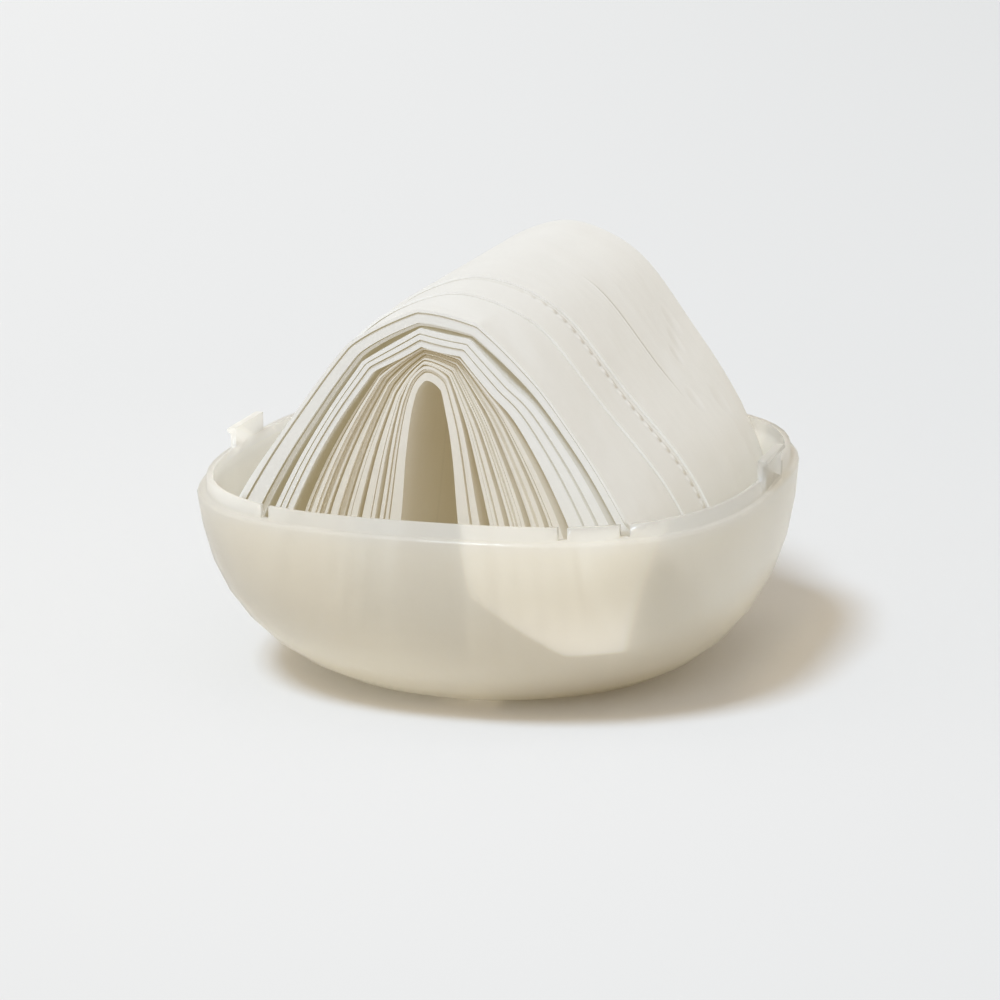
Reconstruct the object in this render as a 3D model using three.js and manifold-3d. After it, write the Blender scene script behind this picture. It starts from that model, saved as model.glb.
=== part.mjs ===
// Tissue case: open rounded-square bowl with a folded tissue stack bent over into an arch.
// Millimetres, +Z up, X across the arch, Y along its tunnel, origin at the middle of the foot.
import * as THREE from "three";
import { mergeVertices } from "three/addons/utils/BufferGeometryUtils.js";
import Module from "manifold-3d";

// Bowl
const BOWL_WIDTH = 125;
const BOWL_DEPTH = 135.8;
const LEDGE_HEIGHT = 44.6;
const WALL = 3.2;
const FLOOR_THICKNESS = 3;
const FOOT_DIAMETER = 56;
const RIM_SQUARENESS = 2.83;
const FOOT_SQUARENESS = 2;
const WALL_BULGE = 2.59;
const WALL_TUCK = 0.571;
const EDGE_ROUND = 0.9;

// Lip that stands on the inner part of the rim
const LIP_HEIGHT = 2.8;
const LIP_THICKNESS = 1.25;
const SLIT_WIDTH = 2;
const SLIT_ACROSS = [-34.4, 30.4, 42];

// Snap tabs in the middle of the left and right sides
const TAB_LENGTH = 18;
const TAB_HEIGHT = 7;
const BARB_REACH = 1;
const BARB_HEIGHT = 1.4;

// Tissue stack
const STACK_LENGTH = 109;
const STACK_RISE = 45.3;
const VOID_RISE = 30;
const SHOULDER_ACROSS = 17;
const SHOULDER_RISE = 38;
const RIM_ACROSS = 44.3;
const VOID_ACROSS = 6.5;
const VOID_SHIFT = -0.9;
const FIT_CLEARANCE = 0.4;
const END_SQUEEZE = 0.055;
const SQUEEZE_KNOTS = [[0, 0], [0.32, 0], [0.43, 0.4], [0.5, 1]];
const SQUEEZE_FADE = 20;
const SHEET_GAP = 0.3;
const SHEET_THICKNESS = 0.5;
const TOP_EDGE_SETBACK = 17;
const FLAP_EDGE_SETBACK = 34;
const EDGE_TURN_DEGREES = 12;

// Share of the way from the stack's outer face to the void, over the top and in the legs
const BUNDLES = [
  { name: "outer_bundle", top: [0, 0.12], leg: [0, 0.13], setback: 0 },
  { name: "second_bundle", top: [0.21, 0.41], leg: [0.2, 0.33], setback: 0.6 },
  { name: "fan_leaf_1", top: [0.44, 0.49], leg: [0.37, 0.46], setback: 1.4 },
  { name: "fan_leaf_2", top: [0.52, 0.57], leg: [0.49, 0.58], setback: 0.8 },
  { name: "fan_leaf_3", top: [0.6, 0.65], leg: [0.61, 0.69], setback: 1.2 },
  { name: "fan_leaf_4", top: [0.68, 0.74], leg: [0.72, 0.8], setback: 0.5 },
  { name: "inner_bundle", top: [0.78, 1], leg: [0.83, 1], setback: 0.2 },
];

// Mesh fineness
const AROUND = 72;
const WALL_RINGS = 9;
const ROOM_AROUND = 36;
const ROOM_RINGS = 5;
const LEG_STEPS = 9;

const wasm = await Module();
wasm.setup();

const CASE_COLOR = 0xd8d2be;
const TISSUE_COLOR = 0xf3f1ea;

function makeMesh(name, geometry, color, roughness) {
  const material = new THREE.MeshStandardMaterial({ color, roughness, metalness: 0 });
  const mesh = new THREE.Mesh(geometry, material);
  mesh.name = name;
  return mesh;
}

function toManifold(geometry) {
  const plain = geometry.clone();
  plain.deleteAttribute("normal");
  plain.deleteAttribute("uv");
  const merged = mergeVertices(plain, 1e-5);
  const vertProperties = new Float32Array(merged.attributes.position.array);
  const triVerts = new Uint32Array(merged.index.array);
  return new wasm.Manifold(new wasm.Mesh({ numProp: 3, vertProperties, triVerts }));
}

function fromManifold(solid) {
  const result = solid.getMesh();
  const geometry = new THREE.BufferGeometry();
  geometry.setAttribute("position", new THREE.BufferAttribute(result.vertProperties, 3));
  geometry.setIndex(new THREE.BufferAttribute(result.triVerts, 1));
  geometry.computeVertexNormals();
  return geometry;
}

// Closed body through rings of equally many points, listed bottom outside to top to inside
function ringBody(rings) {
  const positions = [];
  const index = [];
  const count = rings[0].length;
  for (const ring of rings) {
    for (const point of ring) positions.push(...point);
  }
  for (let r = 0; r + 1 < rings.length; r += 1) {
    for (let i = 0; i < count; i += 1) {
      const next = (i + 1) % count;
      const a = r * count + i;
      const b = r * count + next;
      const c = (r + 1) * count + next;
      const d = (r + 1) * count + i;
      index.push(a, b, c, a, c, d);
    }
  }
  const firstCentre = positions.length / 3;
  positions.push(0, 0, rings[0][0][2]);
  const lastCentre = firstCentre + 1;
  positions.push(0, 0, rings[rings.length - 1][0][2]);
  const lastRing = (rings.length - 1) * count;
  for (let i = 0; i < count; i += 1) {
    const next = (i + 1) % count;
    index.push(firstCentre, next, i);
    index.push(lastCentre, lastRing + i, lastRing + next);
  }
  const geometry = new THREE.BufferGeometry();
  geometry.setAttribute("position", new THREE.Float32BufferAttribute(positions, 3));
  geometry.setIndex(index);
  return geometry;
}

// Rounded-square outline; depth 0 is the ledge, 1 the floor, where the plan is round
function bowlRing(inset, depth, z, around) {
  const tuck = Math.pow(1 - Math.pow(depth, WALL_BULGE), WALL_TUCK);
  const foot = FOOT_DIAMETER / BOWL_WIDTH;
  const shrink = foot + (1 - foot) * tuck;
  const halfWidth = (BOWL_WIDTH / 2 - inset) * shrink;
  const depthAtRim = BOWL_DEPTH / 2 - inset;
  const roundDepth = BOWL_WIDTH / 2 - inset;
  const halfDepth = (depthAtRim + (roundDepth - depthAtRim) * depth) * shrink;
  const squareness = FOOT_SQUARENESS + (RIM_SQUARENESS - FOOT_SQUARENESS) * (1 - depth);
  const ring = [];
  for (let i = 0; i < around; i += 1) {
    const angle = (2 * Math.PI * i) / around;
    const c = Math.cos(angle);
    const s = Math.sin(angle);
    const reach = Math.pow(Math.pow(Math.abs(c), squareness) + Math.pow(Math.abs(s), squareness), -1 / squareness);
    ring.push([halfWidth * reach * c, halfDepth * reach * s, z]);
  }
  return ring;
}

function wallRings(inset, floorHeight, count, around) {
  const rings = [];
  for (let k = count; k >= 0; k -= 1) {
    const depth = Math.sin((Math.PI / 2) * (k / count));
    rings.push(bowlRing(inset, depth, LEDGE_HEIGHT - (LEDGE_HEIGHT - floorHeight) * depth, around));
  }
  return rings;
}

function bowlShell() {
  const rings = wallRings(0, 0, WALL_RINGS, AROUND);
  rings.pop();
  const lipTop = LEDGE_HEIGHT + LIP_HEIGHT;
  const lipInset = WALL - LIP_THICKNESS;
  const cut = EDGE_ROUND * (1 - Math.SQRT1_2);
  rings.push(bowlRing(0, 0, LEDGE_HEIGHT - EDGE_ROUND, AROUND));
  rings.push(bowlRing(cut, 0, LEDGE_HEIGHT - cut, AROUND));
  rings.push(bowlRing(EDGE_ROUND, 0, LEDGE_HEIGHT, AROUND));
  rings.push(bowlRing(lipInset, 0, LEDGE_HEIGHT, AROUND));
  rings.push(bowlRing(lipInset, 0, lipTop, AROUND));
  rings.push(bowlRing(WALL, 0, lipTop, AROUND));
  const inside = wallRings(WALL, FLOOR_THICKNESS, WALL_RINGS, AROUND).reverse();
  return toManifold(ringBody([...rings, ...inside]));
}

function slitCutter(across) {
  const box = new THREE.BoxGeometry(SLIT_WIDTH, BOWL_DEPTH, LIP_HEIGHT * 2);
  box.translate(across, -BOWL_DEPTH / 2, LEDGE_HEIGHT + LIP_HEIGHT + EDGE_ROUND * 0.2);
  return toManifold(box);
}

// Snap tab profile stands on the lip's line and hooks outward at its top
function snapTab(side) {
  const outer = BOWL_WIDTH / 2 - WALL + LIP_THICKNESS;
  const inner = outer - LIP_THICKNESS;
  const root = LEDGE_HEIGHT - LIP_THICKNESS;
  const top = LEDGE_HEIGHT + TAB_HEIGHT;
  const profile = new THREE.Shape();
  profile.moveTo(inner, root);
  profile.lineTo(outer, root);
  profile.lineTo(outer, top - BARB_HEIGHT);
  profile.lineTo(outer + BARB_REACH, top - BARB_HEIGHT / 2);
  profile.lineTo(outer + BARB_REACH / 2, top);
  profile.lineTo(inner, top);
  const tab = new THREE.ExtrudeGeometry(profile, { depth: TAB_LENGTH, bevelEnabled: false });
  tab.translate(0, 0, -TAB_LENGTH / 2);
  tab.rotateX(Math.PI / 2);
  if (side < 0) tab.rotateZ(Math.PI);
  return tab;
}

function caseBase() {
  let solid = bowlShell();
  for (const across of SLIT_ACROSS) solid = solid.subtract(slitCutter(across));
  for (const side of [-1, 1]) solid = solid.add(toManifold(snapTab(side)));
  return makeMesh("case_base", fromManifold(solid), CASE_COLOR, 0.35);
}

// Room for the tissues: the bowl's hollow less the fit clearance, open wide above the lip
function tissueRoom() {
  const inset = WALL + FIT_CLEARANCE;
  const rings = wallRings(inset, FLOOR_THICKNESS + FIT_CLEARANCE, ROOM_RINGS, ROOM_AROUND);
  const lipTop = LEDGE_HEIGHT + LIP_HEIGHT + FIT_CLEARANCE;
  rings.push(bowlRing(inset, 0, lipTop, ROOM_AROUND));
  rings.push(bowlRing(-STACK_RISE, 0, lipTop, ROOM_AROUND));
  rings.push(bowlRing(-STACK_RISE, 0, LEDGE_HEIGHT + STACK_RISE * 2, ROOM_AROUND));
  return toManifold(ringBody(rings));
}

// Whole section through the ridge, mirrored from its right half, heights over the ledge
function archCurve(rightHalf, shift) {
  const leftHalf = rightHalf.slice(1).reverse().map(([x, z]) => [-x, z]);
  const points = [...leftHalf, ...rightHalf].map(([x, z]) => new THREE.Vector3(x + shift, 0, z));
  return new THREE.CatmullRomCurve3(points, false, "centripetal");
}

const floorBelow = -(LEDGE_HEIGHT - FLOOR_THICKNESS);
const outerCurve = archCurve([
  [0, STACK_RISE],
  [SHOULDER_ACROSS / 2, STACK_RISE * 0.72 + SHOULDER_RISE * 0.28],
  [SHOULDER_ACROSS, SHOULDER_RISE],
  [(SHOULDER_ACROSS + RIM_ACROSS) / 2, (SHOULDER_RISE + LIP_HEIGHT) / 2],
  [RIM_ACROSS, LIP_HEIGHT],
  [RIM_ACROSS + 6, floorBelow * 0.25],
  [RIM_ACROSS + 7, floorBelow * 0.6],
  [RIM_ACROSS + 7, floorBelow * 1.1],
], 0);
const voidCurve = archCurve([
  [0, VOID_RISE],
  [VOID_ACROSS * 0.35, VOID_RISE * 0.95],
  [VOID_ACROSS * 0.55, VOID_RISE * 0.8],
  [VOID_ACROSS * 0.8, VOID_RISE * 0.45],
  [VOID_ACROSS, 0],
  [VOID_ACROSS + 1.5, floorBelow * 0.35],
  [VOID_ACROSS + 2, floorBelow * 0.7],
  [VOID_ACROSS + 2, floorBelow * 1.1],
], VOID_SHIFT);

// Point of a leaf's face; step runs from the left foot over the ridge at 0 to the right foot
function sectionPoint(step, top, leg, lift) {
  const way = step / LEG_STEPS;
  const spread = THREE.MathUtils.smoothstep(Math.abs(way), 0, 0.5);
  const share = top + (leg - top) * spread;
  const place = (1 + way) / 2;
  const outer = outerCurve.getPoint(place);
  const inner = voidCurve.getPoint(place);
  const point = outer.clone().lerp(inner, share);
  const tangent = outerCurve.getTangent(place);
  point.x += -tangent.z * lift;
  point.z += tangent.x * lift;
  return point;
}

// Share of the full end squeeze at a place along the tunnel, straight between its knots
function squeezeShare(y) {
  const place = Math.abs(y) / STACK_LENGTH;
  for (let k = 1; k < SQUEEZE_KNOTS.length; k += 1) {
    const [from, low] = SQUEEZE_KNOTS[k - 1];
    const [to, high] = SQUEEZE_KNOTS[k];
    if (place <= to) return low + ((high - low) * (place - from)) / (to - from);
  }
  return 1;
}

// Places along the tunnel where a leaf bends: its two ends and the squeeze knots between
function tunnelStations(front, back) {
  const stations = [front, back];
  for (const [share] of SQUEEZE_KNOTS.slice(1, -1)) {
    for (const y of [-share * STACK_LENGTH, share * STACK_LENGTH]) {
      if (y > front && y < back) stations.push(y);
    }
  }
  return stations.sort((a, b) => a - b);
}

// One face of a leaf as a grid of points, legs squeezed inward near both ends
function leafFace(top, leg, lift, front, back) {
  const rows = [];
  for (const y of tunnelStations(front, back)) {
    const toEnd = squeezeShare(y);
    const row = [];
    for (let step = -LEG_STEPS; step <= LEG_STEPS; step += 1) {
      const point = sectionPoint(step, top, leg, lift);
      const low = 1 - THREE.MathUtils.smoothstep(point.z, LIP_HEIGHT, LIP_HEIGHT + SQUEEZE_FADE);
      const squeeze = 1 - END_SQUEEZE * toEnd * low;
      row.push([point.x * squeeze, y, LEDGE_HEIGHT + point.z]);
    }
    rows.push(row);
  }
  return rows;
}

// Closed slab between an outer and an inner face
function slabBody(outer, inner) {
  const rows = outer.length;
  const columns = outer[0].length;
  const positions = [];
  for (const face of [outer, inner]) {
    for (const row of face) {
      for (const point of row) positions.push(...point);
    }
  }
  const index = [];
  const at = (side, row, column) => side * rows * columns + row * columns + column;
  const quad = (a, b, c, d) => index.push(a, b, c, a, c, d);
  for (let r = 0; r + 1 < rows; r += 1) {
    for (let c = 0; c + 1 < columns; c += 1) {
      quad(at(0, r, c), at(0, r, c + 1), at(0, r + 1, c + 1), at(0, r + 1, c));
      quad(at(1, r, c), at(1, r + 1, c), at(1, r + 1, c + 1), at(1, r, c + 1));
    }
  }
  for (let r = 0; r + 1 < rows; r += 1) {
    const last = columns - 1;
    quad(at(0, r, 0), at(0, r + 1, 0), at(1, r + 1, 0), at(1, r, 0));
    quad(at(0, r, last), at(1, r, last), at(1, r + 1, last), at(0, r + 1, last));
  }
  for (let c = 0; c + 1 < columns; c += 1) {
    const last = rows - 1;
    quad(at(0, 0, c), at(1, 0, c), at(1, 0, c + 1), at(0, 0, c + 1));
    quad(at(0, last, c), at(0, last, c + 1), at(1, last, c + 1), at(1, last, c));
  }
  const geometry = new THREE.BufferGeometry();
  geometry.setAttribute("position", new THREE.Float32BufferAttribute(positions, 3));
  geometry.setIndex(index);
  return geometry;
}

function tissueBundle(bundle, room) {
  const front = -STACK_LENGTH / 2 + bundle.setback;
  const back = STACK_LENGTH / 2 - bundle.setback;
  const outer = leafFace(bundle.top[0], bundle.leg[0], 0, front, back);
  const inner = leafFace(bundle.top[1], bundle.leg[1], 0, front, back);
  const solid = toManifold(slabBody(outer, inner)).intersect(room);
  return makeMesh(bundle.name, fromManifold(solid), TISSUE_COLOR, 0.95);
}

// Takes away all in front of a sheet's set-back edge, which lies a little turned on the stack
function edgeCutter(setback) {
  const side = STACK_LENGTH * 4;
  const box = new THREE.BoxGeometry(side, side, side);
  box.translate(0, -side / 2, 0);
  box.rotateZ(THREE.MathUtils.degToRad(EDGE_TURN_DEGREES));
  box.translate(0, -STACK_LENGTH / 2 + setback, 0);
  return toManifold(box);
}

function looseSheet(name, layer, setback, room) {
  const under = SHEET_GAP + layer * (SHEET_GAP + SHEET_THICKNESS);
  const end = STACK_LENGTH / 2;
  const outer = leafFace(0, 0, under + SHEET_THICKNESS, -end, end);
  const inner = leafFace(0, 0, under, -end, end);
  const sheet = toManifold(slabBody(outer, inner)).intersect(room);
  const solid = sheet.subtract(edgeCutter(setback));
  return makeMesh(name, fromManifold(solid), TISSUE_COLOR, 0.95);
}

const group = new THREE.Group();
group.name = "tissue_case";
const room = tissueRoom();
group.add(caseBase());
group.add(looseSheet("top_flap", 1, FLAP_EDGE_SETBACK, room));
group.add(looseSheet("top_tissue", 0, TOP_EDGE_SETBACK, room));
for (const bundle of BUNDLES) group.add(tissueBundle(bundle, room));

export default group;
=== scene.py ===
"""Looks for the tissue case: frosted bowl, loose tissue layers, soft studio light."""
import math

import bpy
import numpy as np
from mathutils import Matrix, Vector


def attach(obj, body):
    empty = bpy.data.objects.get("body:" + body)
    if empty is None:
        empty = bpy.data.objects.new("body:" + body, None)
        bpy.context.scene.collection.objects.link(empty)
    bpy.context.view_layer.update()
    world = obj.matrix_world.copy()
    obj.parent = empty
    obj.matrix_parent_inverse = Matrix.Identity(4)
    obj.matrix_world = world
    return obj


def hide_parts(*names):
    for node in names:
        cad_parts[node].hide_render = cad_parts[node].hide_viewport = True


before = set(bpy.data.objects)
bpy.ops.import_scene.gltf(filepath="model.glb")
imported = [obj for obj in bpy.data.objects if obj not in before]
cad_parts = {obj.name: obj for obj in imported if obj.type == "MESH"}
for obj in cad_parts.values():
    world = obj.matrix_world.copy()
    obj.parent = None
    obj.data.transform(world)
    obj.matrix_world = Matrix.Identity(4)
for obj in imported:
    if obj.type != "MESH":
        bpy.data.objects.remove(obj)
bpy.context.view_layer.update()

MM = 0.001

# Sizes shared with the solids, in millimetres
BOWL_WIDTH, BOWL_DEPTH = 125.0, 135.8
LEDGE_HEIGHT, WALL, FLOOR_THICKNESS = 44.6, 3.2, 3.0
FOOT_DIAMETER = 56.0
RIM_SQUARENESS, FOOT_SQUARENESS = 2.83, 2.0
WALL_BULGE, WALL_TUCK = 2.59, 0.571
LIP_HEIGHT = 2.8
STACK_LENGTH, STACK_RISE, VOID_RISE = 109.0, 45.3, 30.0
SHOULDER_ACROSS, SHOULDER_RISE = 17.0, 38.0
RIM_ACROSS, VOID_ACROSS, VOID_SHIFT = 44.3, 6.5, -0.9
END_SQUEEZE, SQUEEZE_FADE = 0.055, 20.0
SQUEEZE_KNOTS = ((0, 0.32, 0.43, 0.5), (0, 0, 0.4, 1))
SHEET_THICKNESS = 0.5
TOP_EDGE_SETBACK, FLAP_EDGE_SETBACK, EDGE_TURN = 17.0, 34.0, math.radians(12)

# The leg ends stay this far off the bowl's inside, a little more than the solids' do
FIT_CLEARANCE = 0.5

# A loose sheet's underside lies this far over what is below it
SHEET_LIFT = 0.06

# Points over the arch and along the tunnel, and places at which a leg's end is looked for
BUNDLE_STEPS, BUNDLE_ROWS = 121, 41
SHEET_STEPS, SHEET_ROWS = 161, 61
LEG_STEPS, END_PLACES = 160, 81

# Half the length given to a bundle's sheets laid flat, for their map
HALF_FLAT = 95.0

# Edges that bend less than this are shaded smooth
PAPER_SMOOTH, CASE_SMOOTH = math.radians(50), math.radians(38)

# Camera turn to the right of the front, and its rise over the rim
TURN, RISE = math.radians(16.1), math.radians(12.96)

# Floor colours at the left and the right, close to the case and far from it, and in metres the
# spans over which they turn from left to right and from close by to far off; the darker right
# and far tones are painted shade of the light falling off across the floor
FLOOR_NEAR = (0.830, 0.822, 0.812, 1), (0.737, 0.732, 0.726, 1)
FLOOR_FAR = (0.822, 0.818, 0.812, 1), (0.695, 0.695, 0.690, 1)
NEAR_SPAN, FAR_SPAN, AWAY_SPAN = (-0.14, 0.3), (-0.4, 0.55), (0.06, 0.36)

# Warm light of the room and cool key light, neutral together on the floor
ROOM_COLOUR = (0.66, 0.605, 0.525, 1)
KEY_ENERGY, KEY_ANGLE, KEY_COLOUR = 1.76, math.radians(15), (0.727, 0.846, 1.0)
KEY_PLACE = (-0.16, -0.57, 0.806)


# Camera, floor and light

def photo_camera():
    """Camera of the photograph: long lens, 13 degrees above the rim, right of the front."""
    pixels, focal = 1000.0, 4000.0
    distance = 0.8834
    rim_centre = Vector((0, 0, LEDGE_HEIGHT * MM))
    seen_at = (503.5, 466.7)
    toward = Vector((math.sin(TURN) * math.cos(RISE), -math.cos(TURN) * math.cos(RISE), math.sin(RISE)))
    place = rim_centre + toward * distance
    forward = -toward
    right = forward.cross(Vector((0, 0, 1))).normalized()
    up = right.cross(forward)
    pan = math.atan2(seen_at[0] - pixels / 2, focal)
    tilt = math.atan2(pixels / 2 - seen_at[1], focal)
    right_panned = right * math.cos(pan) + forward * math.sin(pan)
    forward_panned = forward * math.cos(pan) - right * math.sin(pan)
    up_tilted = up * math.cos(tilt) + forward_panned * math.sin(tilt)
    forward_tilted = forward_panned * math.cos(tilt) - up * math.sin(tilt)
    data = bpy.data.cameras.new("photo_camera")
    data.sensor_width = 36.0
    data.lens = focal / pixels * 36.0
    camera = bpy.data.objects.new("photo_camera", data)
    bpy.context.scene.collection.objects.link(camera)
    turned = Matrix((right_panned, up_tilted, -forward_tilted)).transposed()
    camera.matrix_world = Matrix.Translation(place) @ turned.to_4x4()
    bpy.context.scene.camera = camera


photo_camera()
bpy.context.scene.view_settings.view_transform = "Standard"


class Shade:
    """A shader socket that adds Math nodes when it is used in an expression."""

    def __init__(self, tree, socket):
        self.tree, self.socket = tree, socket

    def math(self, operation, other=None, clamp=False):
        """A Math node on this socket and, where there is one, another socket or number."""
        made = self.tree.nodes.new("ShaderNodeMath")
        made.operation, made.use_clamp = operation, clamp
        for slot, value in enumerate((self, other)):
            if isinstance(value, Shade):
                self.tree.links.new(value.socket, made.inputs[slot])
            elif value is not None:
                made.inputs[slot].default_value = value
        return Shade(self.tree, made.outputs[0])

    def swapped(self, operation, first):
        """A Math node with a plain number first and this socket second."""
        made = self.tree.nodes.new("ShaderNodeMath")
        made.operation = operation
        made.inputs[0].default_value = first
        self.tree.links.new(self.socket, made.inputs[1])
        return Shade(self.tree, made.outputs[0])

    def __add__(self, other): return self.math("ADD", other)
    def __radd__(self, other): return self.swapped("ADD", other)
    def __sub__(self, other): return self.math("SUBTRACT", other)
    def __rsub__(self, other): return self.swapped("SUBTRACT", other)
    def __mul__(self, other): return self.math("MULTIPLY", other)
    def __rmul__(self, other): return self.swapped("MULTIPLY", other)
    def clamped(self): return self.math("ADD", 0.0, clamp=True)
    def power(self, other): return self.math("POWER", other)
    def absolute(self): return self.math("ABSOLUTE")
    def sine(self): return self.math("SINE")

    def between(self, low, high):
        """0 below low, 1 above high, smooth between."""
        made = self.tree.nodes.new("ShaderNodeMapRange")
        made.interpolation_type = "SMOOTHSTEP"
        self.tree.links.new(self.socket, made.inputs["Value"])
        made.inputs["From Min"].default_value = low
        made.inputs["From Max"].default_value = high
        return Shade(self.tree, made.outputs["Result"])


class Finish:
    """One material and a single method that adds any node to it."""

    def __init__(self, name):
        self.material = bpy.data.materials.new(name)
        self.material.use_nodes = True
        self.tree = self.material.node_tree
        self.tree.nodes.clear()

    def node(self, kind, settings=None, output=0, numbered=None, **named):
        """Adds a node: its settings, then the values or links of its sockets, by place or name."""
        made = self.tree.nodes.new("ShaderNode" + kind)
        for key, value in (settings or {}).items():
            setattr(made, key, value)
        sockets = [(made.inputs[place], value) for place, value in (numbered or {}).items()]
        sockets += [(made.inputs[key.replace("_", " ")], value) for key, value in named.items()]
        for socket, value in sockets:
            if isinstance(value, Shade):
                self.tree.links.new(value.socket, socket)
            else:
                socket.default_value = value
        return Shade(self.tree, made.outputs[output])

    def finish(self, surface):
        """The material, with this shader as its surface."""
        out = self.tree.nodes.new("ShaderNodeOutputMaterial")
        self.tree.links.new(surface.socket, out.inputs["Surface"])
        return self.material

    def axes(self, source):
        """The X, Y and Z parts of a place."""
        split = self.tree.nodes.new("ShaderNodeSeparateXYZ")
        self.tree.links.new(source.socket, split.inputs[0])
        return [Shade(self.tree, split.outputs[k]) for k in range(3)]

    def blend(self, factor, first, second):
        """Colour between two colours."""
        return self.node("Mix", {"data_type": "RGBA"}, 2, {0: factor, 6: first, 7: second})

    def mixed(self, share, first, second):
        """Shader between two shaders; the share is the second one's."""
        return self.node("MixShader", numbered={0: share, 1: first, 2: second})


def floor_finish():
    """Pale seamless floor, a little darker toward the right as in the photograph: painted shade of the
    light falling off.
    """
    f = Finish("studio_floor")
    x, y, _ = f.axes(f.node("TexCoord", output=3))
    across = x * math.cos(TURN) + y * math.sin(TURN)
    away = (x * x + y * y).power(0.5)
    near = f.blend(across.between(*NEAR_SPAN), *FLOOR_NEAR)
    far = f.blend(across.between(*FAR_SPAN), *FLOOR_FAR)
    colour = f.blend(away.between(*AWAY_SPAN), near, far)
    return f.finish(f.node("BsdfDiffuse", Color=colour, Roughness=1.0))


def studio():
    """Floor, room light and one soft key light from the front left."""
    bpy.ops.mesh.primitive_plane_add(size=8, location=(0, 0, 0))
    floor = bpy.context.object
    floor.name = "studio_floor"
    floor.data.materials.append(floor_finish())
    world = bpy.data.worlds.new("studio_world")
    bpy.context.scene.world = world
    world.use_nodes = True
    background = world.node_tree.nodes["Background"]
    background.inputs["Color"].default_value = ROOM_COLOUR
    background.inputs["Strength"].default_value = 1.0
    data = bpy.data.lights.new("key_light", "SUN")
    data.energy, data.angle, data.color = KEY_ENERGY, KEY_ANGLE, KEY_COLOUR
    lamp = bpy.data.objects.new("key_light", data)
    bpy.context.scene.collection.objects.link(lamp)
    lamp.location = KEY_PLACE
    lamp.rotation_euler = (-Vector(lamp.location)).to_track_quat("-Z", "Y").to_euler()


# Shapes of the layers

def smoothstep(value, low, high):
    """0 below low, 1 above high, smooth between."""
    t = np.clip((value - low) / (high - low), 0.0, 1.0)
    return t * t * (3 - 2 * t)


def centripetal(points, way):
    """Point of a centripetal Catmull-Rom curve at way 0 to 1, and its tangent, for an array of ways."""
    points = np.asarray(points, float)
    last = len(points) - 1
    padded = np.vstack([2 * points[0] - points[1], points, 2 * points[-1] - points[-2]])
    place = np.clip(np.asarray(way, float), 0, 1) * last
    seg = np.minimum(place.astype(int), last - 1)
    t = (place - seg)[..., None]
    p0, p1, p2, p3 = (padded[seg + k] for k in range(4))
    root = lambda a, b: np.maximum(np.sqrt(np.linalg.norm(b - a, axis=-1)), 1e-6)[..., None]
    d0, d1, d2 = root(p0, p1), root(p1, p2), root(p2, p3)
    m1 = ((p1 - p0) / d0 - (p2 - p0) / (d0 + d1) + (p2 - p1) / d1) * d1
    m2 = ((p2 - p1) / d1 - (p3 - p1) / (d1 + d2) + (p3 - p2) / d2) * d1
    a, b = 2 * p1 - 2 * p2 + m1 + m2, -3 * p1 + 3 * p2 - 2 * m1 - m2
    return a * t ** 3 + b * t ** 2 + m1 * t + p1, 3 * a * t ** 2 + 2 * b * t + m1


# Height of the bowl's inner floor over the ledge
FLOOR_BELOW = -(LEDGE_HEIGHT - FLOOR_THICKNESS)

# Creases over the arch, how far in from an end they fade, and how far down the legs
CREASES = np.array([-1.0, -0.75, -0.52, -0.3, -0.05, 0.17, 0.42, 0.7, 1.0])
CREASE_INWARD, CREASE_DOWN = (4, 15), (0.29, 0.43)


def arch_curve(right_half, shift):
    """Whole section through the ridge, mirrored from its right half."""
    left_half = [(-x, z) for x, z in right_half[:0:-1]]
    return [(x + shift, z) for x, z in left_half + right_half]


OUTER_CURVE = arch_curve([
    (0, STACK_RISE),
    (SHOULDER_ACROSS / 2, STACK_RISE * 0.72 + SHOULDER_RISE * 0.28),
    (SHOULDER_ACROSS, SHOULDER_RISE),
    ((SHOULDER_ACROSS + RIM_ACROSS) / 2, (SHOULDER_RISE + LIP_HEIGHT) / 2),
    (RIM_ACROSS, LIP_HEIGHT),
    (RIM_ACROSS + 6, FLOOR_BELOW * 0.25),
    (RIM_ACROSS + 7, FLOOR_BELOW * 0.6),
    (RIM_ACROSS + 7, FLOOR_BELOW * 1.1),
], 0)
VOID_CURVE = arch_curve([
    (0, VOID_RISE),
    (VOID_ACROSS * 0.35, VOID_RISE * 0.95),
    (VOID_ACROSS * 0.55, VOID_RISE * 0.8),
    (VOID_ACROSS * 0.8, VOID_RISE * 0.45),
    (VOID_ACROSS, 0),
    (VOID_ACROSS + 1.5, FLOOR_BELOW * 0.35),
    (VOID_ACROSS + 2, FLOOR_BELOW * 0.7),
    (VOID_ACROSS + 2, FLOOR_BELOW * 1.1),
], VOID_SHIFT)


def hollow_reach(x, y, z):
    """1 on the bowl's inner wall less the clearance, under 1 inside it; heights over the ledge."""
    inset = WALL + FIT_CLEARANCE
    depth = np.clip(-z / (LEDGE_HEIGHT - FLOOR_THICKNESS - FIT_CLEARANCE), 0, 0.9999)
    tuck = (1 - depth ** WALL_BULGE) ** WALL_TUCK
    foot = FOOT_DIAMETER / BOWL_WIDTH
    shrink = foot + (1 - foot) * tuck
    half_width = (BOWL_WIDTH / 2 - inset) * shrink
    at_rim = BOWL_DEPTH / 2 - inset
    half_depth = (at_rim + (BOWL_WIDTH / 2 - inset - at_rim) * depth) * shrink
    power = FOOT_SQUARENESS + (RIM_SQUARENESS - FOOT_SQUARENESS) * (1 - depth)
    return (np.abs(x) / half_width) ** power + (np.abs(y) / half_depth) ** power


def side_blend(way, three):
    """Value at a place over the arch from its left-leg, ridge and right-leg values."""
    left, top, right = three
    return top + (np.where(way < 0, left, right) - top) * smoothstep(np.abs(way), 0, 0.5)


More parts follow.
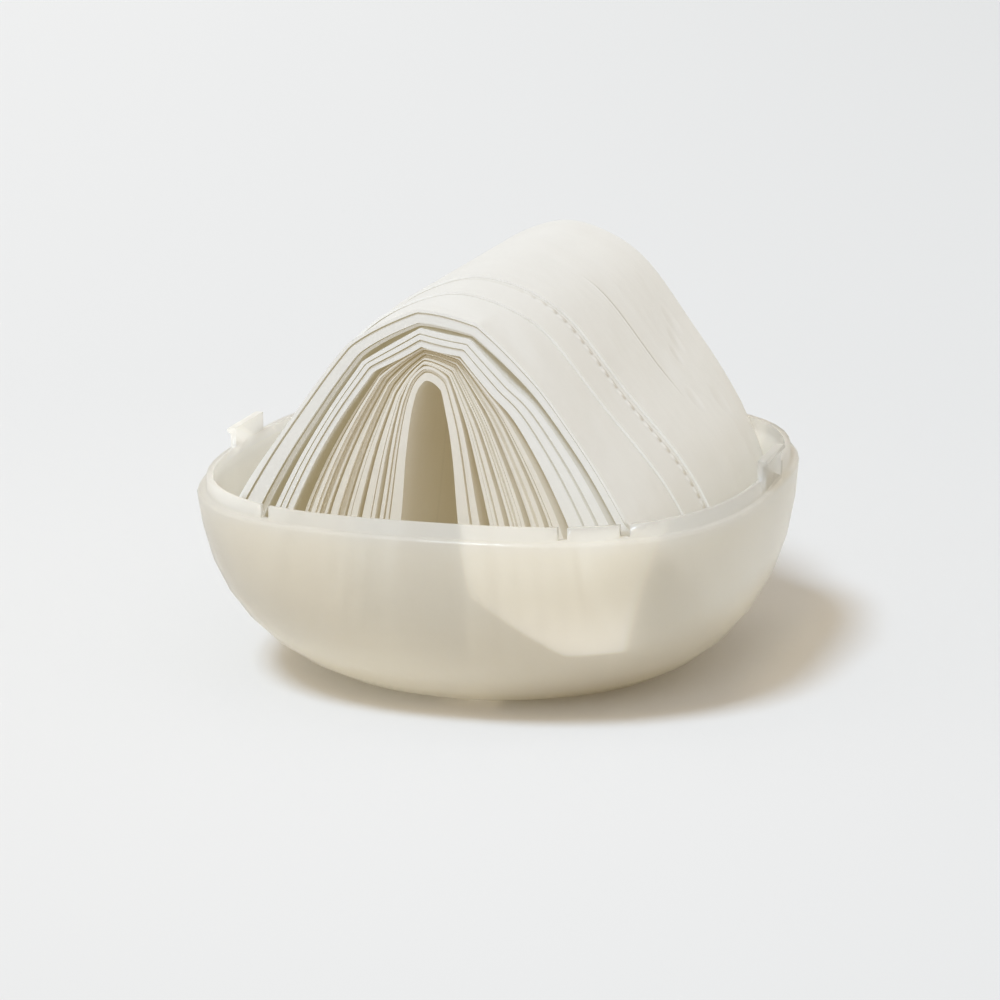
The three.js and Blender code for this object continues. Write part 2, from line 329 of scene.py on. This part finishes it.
def section(way, share, lift):
    """Point of the layered arch; way runs from -1 at the left foot over 0, the ridge, to 1."""
    outer, tangent = centripetal(OUTER_CURVE, (1 + way) / 2)
    inner, _ = centripetal(VOID_CURVE, (1 + way) / 2)
    tangent = tangent / np.maximum(np.linalg.norm(tangent, axis=-1), 1e-9)[..., None]
    x = outer[..., 0] + (inner[..., 0] - outer[..., 0]) * share - tangent[..., 1] * lift
    z = outer[..., 1] + (inner[..., 1] - outer[..., 1]) * share + tangent[..., 0] * lift
    return x, z


def folded_section(way, share, lift):
    """The same section with its roof in straight runs between a few creases."""
    run = np.clip(np.searchsorted(CREASES, way, side="right") - 1, 0, len(CREASES) - 2)
    low, high = CREASES[run], CREASES[run + 1]
    t = (way - low) / (high - low)
    x0, z0 = section(low, share, lift)
    x1, z1 = section(high, share, lift)
    return x0 + (x1 - x0) * t, z0 + (z1 - z0) * t


def sheet_point(way, y, face, lift, ripple=None, angular=0.0):
    """Places of a layer; face is its outside and inside shares and how far between them it lies."""
    outside, inside, between = face
    low, high = side_blend(way, outside), side_blend(way, inside)
    share = low + (high - low) * between
    if ripple is not None:
        share = share + ripple
    x, z = section(way, share, lift)
    if angular:
        xf, zf = folded_section(way, share, lift)
        near_end = angular * (1 - smoothstep(STACK_LENGTH / 2 - np.abs(y), *CREASE_INWARD))
        near_end = near_end * (1 - smoothstep(np.abs(way), *CREASE_DOWN))
        x, z = x + (xf - x) * near_end, z + (zf - z) * near_end
    to_end = np.interp(np.abs(y) / STACK_LENGTH, SQUEEZE_KNOTS[0], SQUEEZE_KNOTS[1])
    in_leg = 1 - smoothstep(z, LIP_HEIGHT, LIP_HEIGHT + SQUEEZE_FADE)
    return x * (1 - END_SQUEEZE * to_end * in_leg), z


def leg_end(y, side, face, lift):
    """Furthest way down that a layer gets before it meets the bowl, for each y."""
    ways = side * np.linspace(0.5, 0.999, LEG_STEPS)[None, :]
    x, z = sheet_point(ways * np.ones((len(y), 1)), y[:, None], face, lift)
    inside = (hollow_reach(x, y[:, None], np.minimum(z, 0)) < 1) & (z > FLOOR_BELOW + FIT_CLEARANCE)
    first_out = np.argmax(~inside, axis=1)
    first_out[inside.all(axis=1)] = ways.shape[1] - 1
    return np.abs(ways[0, np.maximum(first_out - 1, 0)])


def layer_grid(face, lift, front, back, steps, rows, ripple, ends_of=None, angular=0.0):
    """Grid of points of one face of a layer, rows along the tunnel, steps over the arch."""
    along = np.linspace(-1, 1, steps)
    front_line = front + 0 * along
    share_along = 0.5 - 0.5 * np.cos(np.pi * np.linspace(0, 1, rows))
    y = front_line[None, :] + (back - front_line[None, :]) * share_along[:, None]
    flat_y = np.linspace(-STACK_LENGTH / 2, STACK_LENGTH / 2, END_PLACES)
    outside, inside, between = face
    end_face, end_lift = ends_of or ((outside, inside, 0.0), lift)
    right = np.interp(y, flat_y, leg_end(flat_y, 1, end_face, end_lift))
    left = np.interp(y, flat_y, leg_end(flat_y, -1, end_face, end_lift))
    bend = along[None, :] * np.where(along[None, :] > 0, right, left)
    if callable(between):
        face = (outside, inside, between(y))
    wave = ripple(bend, y) if ripple else None
    x, z = sheet_point(bend, y, face, lift, wave, angular)
    return np.stack([x, y, LEDGE_HEIGHT + z], axis=-1)


def slab(outer, inner, start):
    """Vertices and faces of a closed slab between two grids."""
    rows, steps = outer.shape[:2]
    count = rows * steps
    verts = np.concatenate([outer.reshape(-1, 3), inner.reshape(-1, 3)])
    at = np.arange(count).reshape(rows, steps) + start
    low = at + count
    faces = []
    a, b, c, d = at[:-1, :-1], at[:-1, 1:], at[1:, 1:], at[1:, :-1]
    faces.append(np.stack([a, b, c, d], -1).reshape(-1, 4))
    a, b, c, d = low[:-1, :-1], low[1:, :-1], low[1:, 1:], low[:-1, 1:]
    faces.append(np.stack([a, b, c, d], -1).reshape(-1, 4))
    faces.append(np.stack([at[:-1, 0], at[1:, 0], low[1:, 0], low[:-1, 0]], -1))
    faces.append(np.stack([at[:-1, -1], low[:-1, -1], low[1:, -1], at[1:, -1]], -1))
    faces.append(np.stack([at[0, :-1], low[0, :-1], low[0, 1:], at[0, 1:]], -1))
    faces.append(np.stack([at[-1, :-1], at[-1, 1:], low[-1, 1:], low[-1, :-1]], -1))
    return verts, np.concatenate(faces)


def make_piece(name, verts, faces, flat_places, material, nodes):
    """One visible piece in the place of its nodes, with the paper's flat places as its map."""
    mesh = bpy.data.meshes.new(name)
    mesh.from_pydata((verts * MM).tolist(), [], faces.tolist())
    mesh.update()
    uv = mesh.uv_layers.new(name="paper_mm")
    loops = np.zeros(len(mesh.loops), dtype=np.int32)
    mesh.loops.foreach_get("vertex_index", loops)
    uv.data.foreach_set("uv", (flat_places[loops] * MM).astype(np.float32).ravel())
    mesh.materials.append(material)
    piece = bpy.data.objects.new(name, mesh)
    bpy.context.scene.collection.objects.link(piece)
    bpy.ops.object.select_all(action="DESELECT")
    piece.select_set(True)
    bpy.context.view_layer.objects.active = piece
    bpy.ops.object.shade_smooth_by_angle(angle=PAPER_SMOOTH)
    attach(piece, "root")
    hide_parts(*nodes)
    return piece


# Finishes

# Marks on the outer sheets, in millimetres: pitch of the crimp beads, the crease's start and slope,
# places and sizes of the press marks, and heights
CRIMP_PITCH = 2.9
CREASE_START, CREASE_SLOPE = (18.4, 12.7), 0.183
PRESS_MARKS = ((27.6, 42.4, 3.6), (30.1, 36.5, 3.2), (31.7, 30.8, 2.6), (40.5, 36.9, 4.2),
               (38.0, 22.0, 3.4))
CREASE_HEIGHT, SLUMP_DEPTH, PRESS_DEPTH = 0.3, 0.7, 0.45
BEAD_HEIGHT, SLACK_HEIGHT, FIBRE_HEIGHT = 1.0, 1.4, 0.05

# Painted glow that the tissue emits in place of light soaking through it and bouncing inside: its
# colour and strength inside; and the share of light that really passes through
TISSUE_PAINTED_GLOW, TISSUE_PAINTED_GLOW_STRENGTH, TISSUE_PASSES = (1.0, 0.81, 0.46, 1), 0.07, 0.16

# Tones of the case's painted glow, light it emits in place of light through its walls: low on the
# left and on the right, over the left leg, low and high over the right leg, where the tissue legs
# seen through the walls are painted, and at the lit rim
LOW_LEFT_PAINTED_GLOW, LOW_RIGHT_PAINTED_GLOW = (0.088, 0.080, 0.062, 1), (0.026, 0.018, 0.006, 1)
LEFT_LEG_PAINTED_GLOW = (0.030, 0.024, 0.016, 1)
RIGHT_LEG_PAINTED_GLOW_LOW, RIGHT_LEG_PAINTED_GLOW_HIGH = (0.150, 0.145, 0.135, 1), (0.074, 0.067, 0.054, 1)
LIT_RIM = (0.13, 0.13, 0.125, 1)

# Shares of light that pass the case: scattered, and straight on to the floor, with that colour
CASE_SCATTERS, CASE_PASSES, PASSED_COLOUR = 0.12, 0.38, (1.0, 0.76, 0.42, 1)

# Outline of the right leg's painted glow behind the wall, in metres: its left edge at the ledge and
# that edge's lean, a corner and the slope of its lower left edge, how far down it ends, its right
# edge and its lean
LEG_LEFT, LEG_LEFT_LEAN = 0.0100, 0.13
LEG_CORNER, LEG_CORNER_SLOPE = (0.0139, 0.0137), 0.875
LEG_DOWN = (0.0262, 0.0278)
LEG_RIGHT, LEG_RIGHT_LEAN = 0.0489, 0.335


def tissue_marks(f, place, flat):
    """Heights of the crimped ply edge, a faint crease and the press marks on the outer sheets.

    The strip and bead masks also carry painted shade and painted highlights.
    """
    x, y, _ = f.axes(place)
    along = f.axes(flat)[0]
    edge = (STACK_LENGTH / 2 - FLAP_EDGE_SETBACK) * MM
    front = (x * math.tan(EDGE_TURN) - edge - y) * math.cos(EDGE_TURN)
    strip = front.between(0.0003, 0.0009) * (1.0 - front.between(0.0017, 0.0026))
    bead = (along * (2 * math.pi / (CRIMP_PITCH * MM))).sine() * 0.5 + 0.5
    beads = strip * bead.power(0.7) * x.between(0.004, 0.02)
    crease_y = CREASE_START[1] * MM + (x - CREASE_START[0] * MM) * CREASE_SLOPE
    off = y - crease_y
    ends = x.between(0.014, 0.020) * (1.0 - x.between(0.030, 0.038))
    crease = (1.0 - off.absolute().between(0.0, 0.0009)) * ends
    slump = off.between(0.0, 0.0012) * (1.0 - off.between(0.003, 0.012)) * ends
    dents = None
    for dx, dy, size in PRESS_MARKS:
        away = ((x - dx * MM) * (x - dx * MM) * 1.8 + (y - dy * MM) * (y - dy * MM)).power(0.5)
        dent = 1.0 - away.between(0.0, size * MM)
        dents = dent if dents is None else dents + dent
    marks = crease * (CREASE_HEIGHT * MM) - slump * (SLUMP_DEPTH * MM) - dents * (PRESS_DEPTH * MM)
    return strip, beads, marks


def tissue_finish(name, low_tone, high_tone):
    """Soft two-ply tissue: warm white, fine emboss, slack wrinkles; light soaks through it.

    It also has a painted glow, painted shade in the crimp strip and painted highlights on its beads.
    """
    f = Finish(name)
    place, flat = f.node("TexCoord", output=3), f.node("TexCoord", output=2)
    fibre = f.node("TexNoise", Vector=place, Scale=900.0, Detail=4.0, Roughness=0.7)
    slack = f.node("TexNoise", Vector=place, Scale=45.0, Detail=3.0, Roughness=0.5)
    strip, beads, marks = tissue_marks(f, place, flat)
    colour = f.blend(slack.between(0.35, 0.7), low_tone, high_tone)
    # Painted shade: the crimp strip is painted greyer between the beads
    colour = f.blend(strip * 0.32, colour, (0.74, 0.73, 0.70, 1))
    # Painted highlight: the beads are painted near-white where they catch the light
    colour = f.blend(beads.clamped(), colour, (0.985, 0.985, 0.98, 1))
    height = fibre * (FIBRE_HEIGHT * MM) + slack * (SLACK_HEIGHT * MM) + marks + beads * (BEAD_HEIGHT * MM)
    bump = f.node("Bump", Height=height, Strength=0.6, Distance=1.0)
    # The emission is a painted glow
    body = f.node("BsdfPrincipled", Base_Color=colour, Roughness=0.95, Normal=bump,
                  Specular_IOR_Level=0.15, Emission_Color=TISSUE_PAINTED_GLOW,
                  Emission_Strength=TISSUE_PAINTED_GLOW_STRENGTH)
    through = f.node("BsdfTranslucent", Color=(0.96, 0.94, 0.88, 1), Normal=bump)
    return f.finish(f.mixed(TISSUE_PASSES, body, through))


def legs_behind_painted_glow(x, y, z):
    """Masks, 0 to 1 each, for the painted glow where the two tissue legs lie close behind the front and
    back walls.
    """
    down = LEDGE_HEIGHT * MM - z
    ends = y.absolute().between(0.030, 0.042)
    right = (x - LEG_LEFT - down * LEG_LEFT_LEAN).between(-0.0006, 0.0008)
    lower_edge = (x - LEG_CORNER[0]) * LEG_CORNER_SLOPE + LEG_CORNER[1]
    right = right * (lower_edge - down).between(-0.0012, 0.0006)
    right = right * (1.0 - down.between(*LEG_DOWN))
    right = right * (1.0 - (x - LEG_RIGHT + down * LEG_RIGHT_LEAN).between(-0.0016, 0.0010))
    left = (0.0 - x - 0.009).between(0.0, 0.012) * (1.0 - down.between(0.012, 0.034))
    left = left * (1.0 - (0.0 - x).between(0.040, 0.056))
    return right * ends, left * ends


def case_finish():
    """Milky frosted plastic that lets light, and in part what lies close behind it, through.

    The tissue legs close behind the walls, the lower wall and the lit rim are also given a painted
    glow, and the rim is painted lighter.
    """
    f = Finish("case_plastic")
    place = f.node("TexCoord", output=3)
    x, y, height = f.axes(place)
    right, left = legs_behind_painted_glow(x, y, height)
    cloudy = f.node("TexNoise", Vector=place, Scale=16.0, Detail=2.0)
    colour = f.blend(cloudy.between(0.3, 0.7), (0.97, 0.95, 0.885, 1), (0.98, 0.962, 0.905, 1))
    # Painted light: the rim is painted lighter than the wall below it
    colour = f.blend(height.between(0.0405, 0.0455), colour, (0.985, 0.98, 0.955, 1))
    # Painted glow: light emitted low on the wall, over the tissue legs behind it and at the lit rim
    low_glow = f.blend(x.between(-0.020, 0.035), LOW_LEFT_PAINTED_GLOW, LOW_RIGHT_PAINTED_GLOW)
    glow = f.blend(height.between(0.008, 0.030), low_glow, (0.0, 0.0, 0.0, 1))
    glow = f.blend(left, glow, LEFT_LEG_PAINTED_GLOW)
    glow = f.blend(right, glow, f.blend(height.between(0.019, 0.034), RIGHT_LEG_PAINTED_GLOW_LOW, RIGHT_LEG_PAINTED_GLOW_HIGH))
    lit_rim = height.between(0.0435, 0.0462) * (0.0 - x).between(0.025, 0.050)
    glow = f.blend(lit_rim, glow, LIT_RIM)
    body = f.node("BsdfPrincipled", Base_Color=colour, Roughness=0.34 + cloudy * 0.05,
                  Transmission_Weight=0.55, IOR=1.3, Coat_Weight=0.35, Coat_Roughness=0.1,
                  Emission_Color=glow, Emission_Strength=1.0)
    through = f.node("BsdfTranslucent", Color=(0.98, 0.95, 0.86, 1))
    milky = f.mixed(CASE_SCATTERS, body, through)
    to_light = f.node("LightPath", output=1)
    soaked = f.node("BsdfTransparent", Color=PASSED_COLOUR)
    return f.finish(f.mixed(to_light * CASE_PASSES, milky, soaked))


# The object's pieces

def bowl(material):
    """The moulded case, its facets merged and smoothed."""
    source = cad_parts["case_base"]
    mesh = source.data.copy()
    mesh.name = "frosted_bowl"
    mesh.materials.clear()
    mesh.materials.append(material)
    piece = bpy.data.objects.new("frosted_bowl", mesh)
    bpy.context.scene.collection.objects.link(piece)
    bpy.ops.object.select_all(action="DESELECT")
    piece.select_set(True)
    bpy.context.view_layer.objects.active = piece
    bpy.ops.object.mode_set(mode="EDIT")
    bpy.ops.mesh.select_all(action="SELECT")
    bpy.ops.mesh.remove_doubles(threshold=0.00001)
    bpy.ops.object.mode_set(mode="OBJECT")
    bpy.ops.object.shade_smooth_by_angle(angle=CASE_SMOOTH)
    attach(piece, "root")
    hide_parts("case_base")


def waves(seed, amount, common):
    """Slack of one layer: its own slow ripples and those that the whole fan shares."""
    rng = np.random.default_rng(seed)
    parts = [(rng.uniform(3, 9), rng.uniform(0.02, 0.09), rng.uniform(0, 6.28)) for _ in range(5)]

    def ripple(way, y):
        total = sum(np.sin(a * way + b * y + c) for a, b, c in parts) / len(parts)
        shared = np.sin(11 * way + 0.05 * y + 0.6) * 0.6 + np.sin(19 * way - 0.09 * y + 2.0) * 0.4
        return (amount * total + common * shared) * smoothstep(np.abs(way), 0.12, 0.5)
    return ripple


def layered_bundle(name, outside, inside, setback, cuts, material, seed,
                   split=0.1, depth=2.0, swell=0.0, amount=0.002, common=0.0, angular=0.0,
                   stagger=0.8, plies=()):
    """A bundle as its folded layers: close together inside, parted a little at both ends."""
    rng = np.random.default_rng(seed)
    steps, rows = BUNDLE_STEPS, BUNDLE_ROWS
    layers = len(cuts) - 1
    verts, faces, flats = [], [], []
    start = 0
    plies = [(cuts[k], cuts[k + 1], rng.uniform(0, stagger)) for k in range(layers)] + list(plies)
    for k, (top, low, recess) in enumerate(plies):
        front = -STACK_LENGTH / 2 + setback + recess
        back = STACK_LENGTH / 2 - setback - recess
        ripple = waves(seed * 31 + k, amount, common)
        thick = low - top

        def parted(edge, inward):
            def between(y):
                near = np.exp(-np.minimum(y - front, back - y) / depth)
                if edge in (0, 1):
                    return edge - inward * swell * (1 - near)
                return edge + inward * thick * (0.02 + split * near)
            return between

        ends = ((outside, inside, max(top, 0)), 0)
        faces_of = (outside, inside, parted(top, 1)), (outside, inside, parted(low, -1))
        outer, inner = (layer_grid(face, 0, front, back, steps, rows, ripple, ends, angular)
                        for face in faces_of)
        v, fc = slab(outer, inner, start)
        verts.append(v)
        faces.append(fc)
        along = np.repeat(np.linspace(-HALF_FLAT, HALF_FLAT, steps)[None, :], rows, axis=0)
        flat = np.stack([along, outer[..., 1]], -1).reshape(-1, 2)
        flats.append(np.concatenate([flat, flat]))
        start += len(v)
    make_piece(name + "_layers", np.concatenate(verts), np.concatenate(faces),
               np.concatenate(flats), material, [name])


def set_back_edge(setback, steps):
    """Front edge of a loose sheet for each step over the arch; the sheet lies a little turned."""
    along = np.linspace(-1, 1, steps)
    outer, _ = centripetal(OUTER_CURVE, (1 + along) / 2)
    return -STACK_LENGTH / 2 + setback + np.tan(EDGE_TURN) * outer[:, 0]


def loose_sheet(name, sheets_below, setback, material):
    """One of the two sheets that lie loose on the stack, set back from its front end."""
    under = SHEET_LIFT + sheets_below * (SHEET_THICKNESS + SHEET_LIFT)
    steps, rows = SHEET_STEPS, SHEET_ROWS
    front, back = set_back_edge(setback, steps), STACK_LENGTH / 2
    flush = ((0, 0, 0), (0, 0, 0), 0.0)
    ends = (flush, under + SHEET_THICKNESS)
    outer = layer_grid(flush, under + SHEET_THICKNESS, front, back, steps, rows, None, ends)
    inner = layer_grid(flush, under, front, back, steps, rows, None, ends)
    verts, faces = slab(outer, inner, 0)
    middle = outer[rows // 2][:, [0, 2]]
    arc = np.concatenate([[0], np.cumsum(np.linalg.norm(np.diff(middle, axis=0), axis=1))])
    along = np.repeat((arc - arc[steps // 2])[None, :], rows, axis=0)
    flat = np.stack([along, outer[..., 1]], -1).reshape(-1, 2)
    piece = make_piece(name + "_sheet", verts, faces, np.concatenate([flat, flat]), material,
                       [name])
    length = back - front.min()
    length * MM


studio()
paper = tissue_finish("tissue_paper", (0.885, 0.90, 0.91, 1), (0.90, 0.915, 0.925, 1))
# The inner leaves get a darker, creamier copy of the same paper: painted shade of the deep inside of the
# stack
shaded_inner_paper = tissue_finish("shaded_inner_tissue_paper", (0.845, 0.825, 0.78, 1), (0.865, 0.85, 0.81, 1))
bowl(case_finish())
loose_sheet("top_flap", 1, FLAP_EDGE_SETBACK, paper)
loose_sheet("top_tissue", 0, TOP_EDGE_SETBACK, paper)

FAN = dict(amount=0.003, common=0.006, angular=0.6, swell=0.09, stagger=3.2, split=0.05)
# Name; shares of the way in, outside and inside, each in the left leg, over the top and in the
# right leg; set-back; cuts between the layers; material; how it is shaped
BUNDLES = [
    ("outer_bundle", (0, 0, 0), (0.14, 0.19, 0.07), 0.0, (0, 0.25, 1), paper,
     dict(angular=0.5, plies=[(1.04, 1.33, 2.2)])),
    ("second_bundle", (0.23, 0.27, 0.12), (0.34, 0.53, 0.36), 0.6, (0, 0.28, 0.62, 1), paper,
     dict(angular=0.9, common=0.003)),
    ("fan_leaf_1", (0.45, 0.555, 0.42), (0.54, 0.59, 0.5), 1.4, (0, 0.3, 0.55, 0.8, 1), shaded_inner_paper,
     dict(plies=[(-0.5, -0.28, 2.5), (-0.26, -0.1, 3.6)], **FAN)),
    ("fan_leaf_2", (0.56, 0.615, 0.53), (0.64, 0.65, 0.61), 0.8, (0, 0.4, 0.6, 1), shaded_inner_paper, FAN),
    ("fan_leaf_3", (0.66, 0.675, 0.64), (0.73, 0.71, 0.71), 1.2, (0, 0.3, 0.6, 0.75, 1), shaded_inner_paper,
     FAN),
    ("fan_leaf_4", (0.76, 0.735, 0.74), (0.84, 0.77, 0.82), 0.5, (0, 0.45, 0.7, 1), shaded_inner_paper, FAN),
    ("inner_bundle", (0.87, 0.8, 0.87), (1, 1, 1), 0.2, (0, 0.2, 0.4, 1), shaded_inner_paper,
     dict(angular=0.3, stagger=2.0)),
]
for seed, (name, outside, inside, setback, cuts, material, shaping) in enumerate(BUNDLES, 1):
    layered_bundle(name, outside, inside, setback, cuts, material, seed, **shaping)
